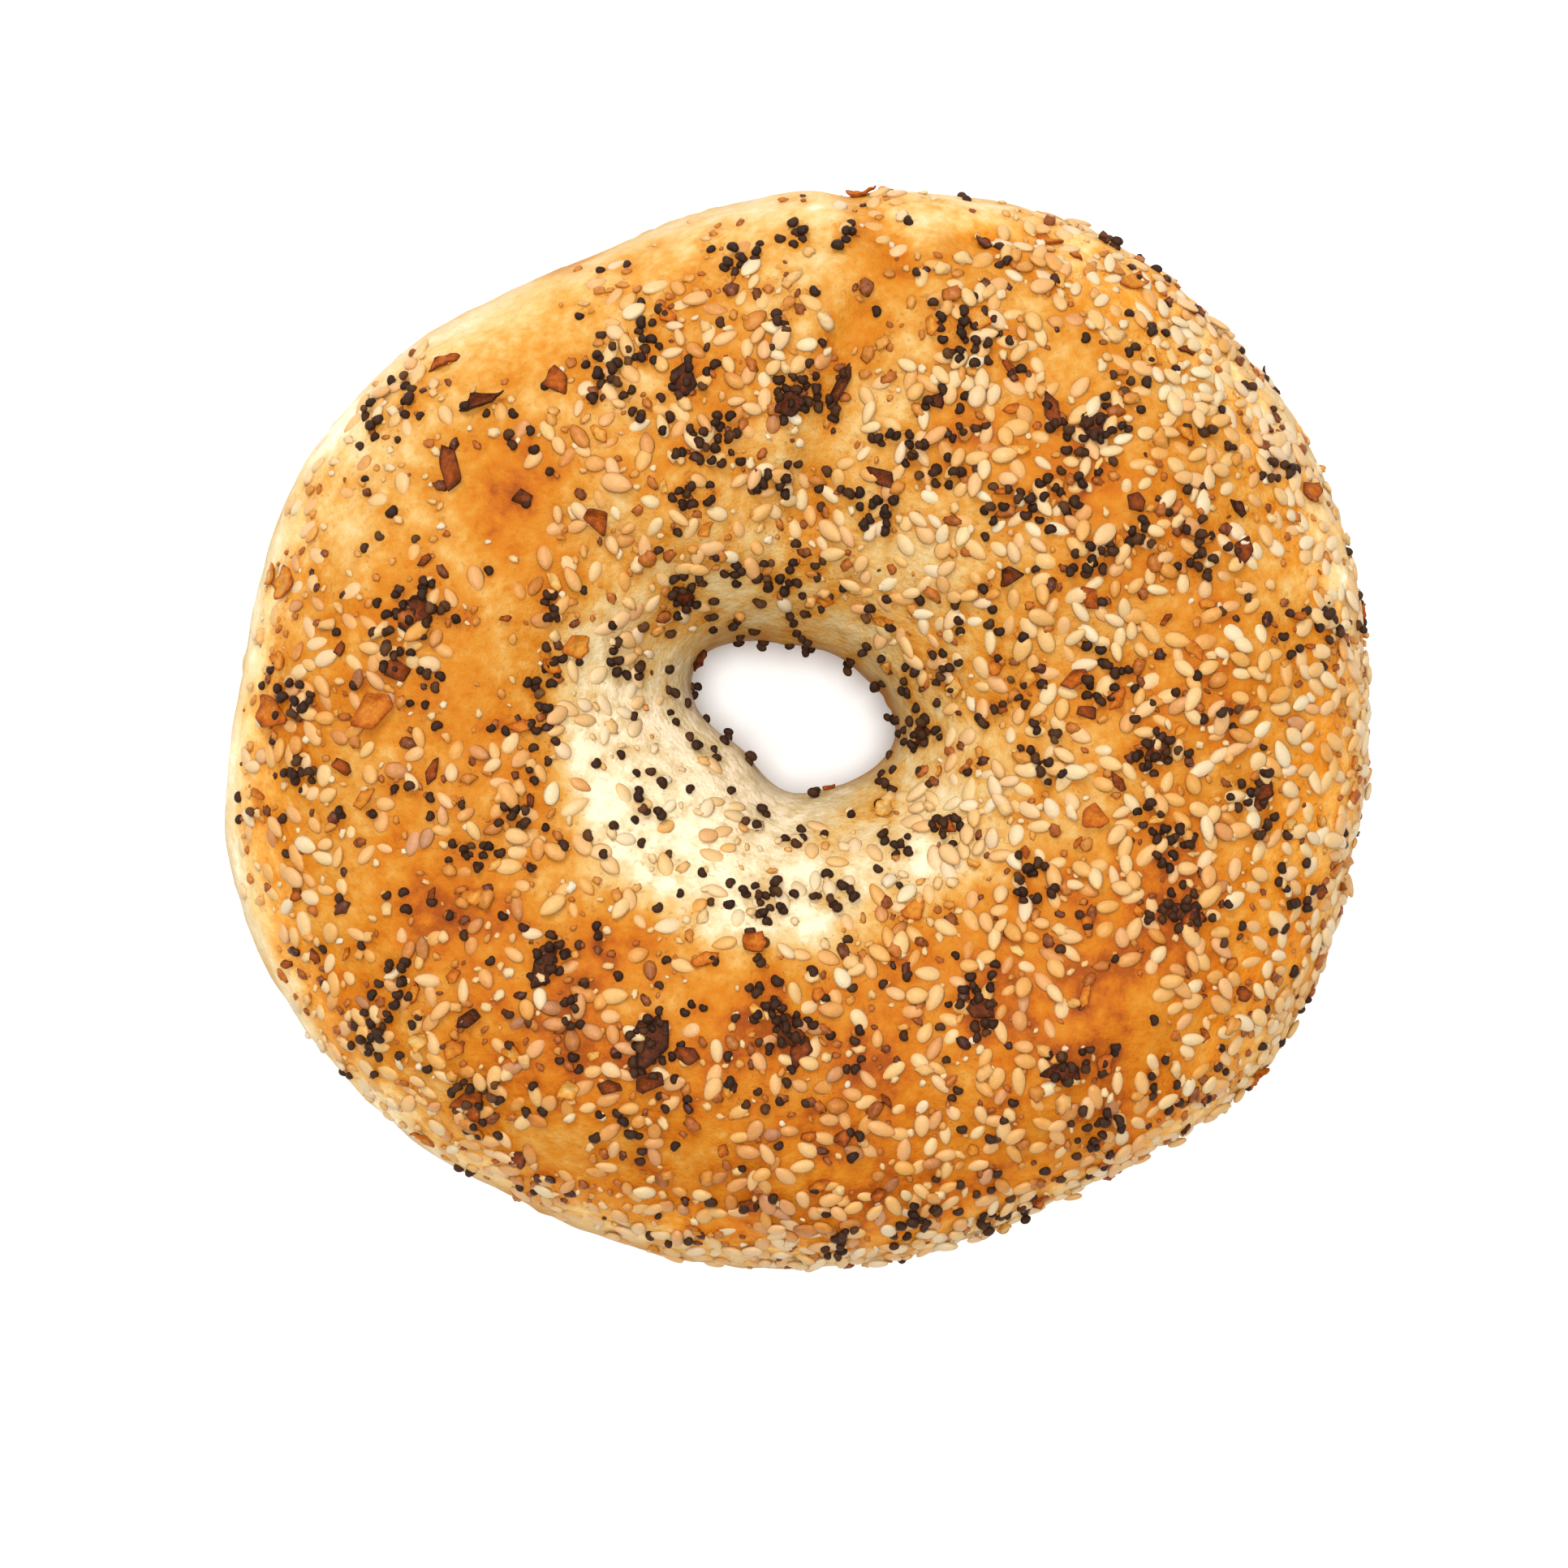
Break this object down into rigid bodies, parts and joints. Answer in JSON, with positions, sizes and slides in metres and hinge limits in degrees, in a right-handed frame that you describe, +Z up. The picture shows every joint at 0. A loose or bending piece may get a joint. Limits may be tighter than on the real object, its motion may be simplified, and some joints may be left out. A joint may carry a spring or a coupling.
{
  "type": "bagel",
  "caption": "Whole ring-shaped bread roll with a small off-round hole and a flat base, its browned crust strewn with poppy seeds, sesame seeds and dried onion.",
  "frame": {"origin": "on the surface the bagel lies on, under the middle of its outline", "axes": "+Z up through the hole, +X to the right and +Y to the far side as the bagel is seen from above"},
  "size_m": [0.112, 0.1065, 0.0369],
  "materials": {
    "crust": "golden brown baked crust with a soft sheen, cream near the hole and orange-brown where it has caught",
    "poppy_seed": "matt blue-black seed",
    "sesame_seed": "satin cream seed, toasted golden in places",
    "dried_onion": "matt toasted flake, tan to dark red-brown"
  },
  "bodies": {
    "root": {"bagel": "crust"}
  },
  "joints": []
}
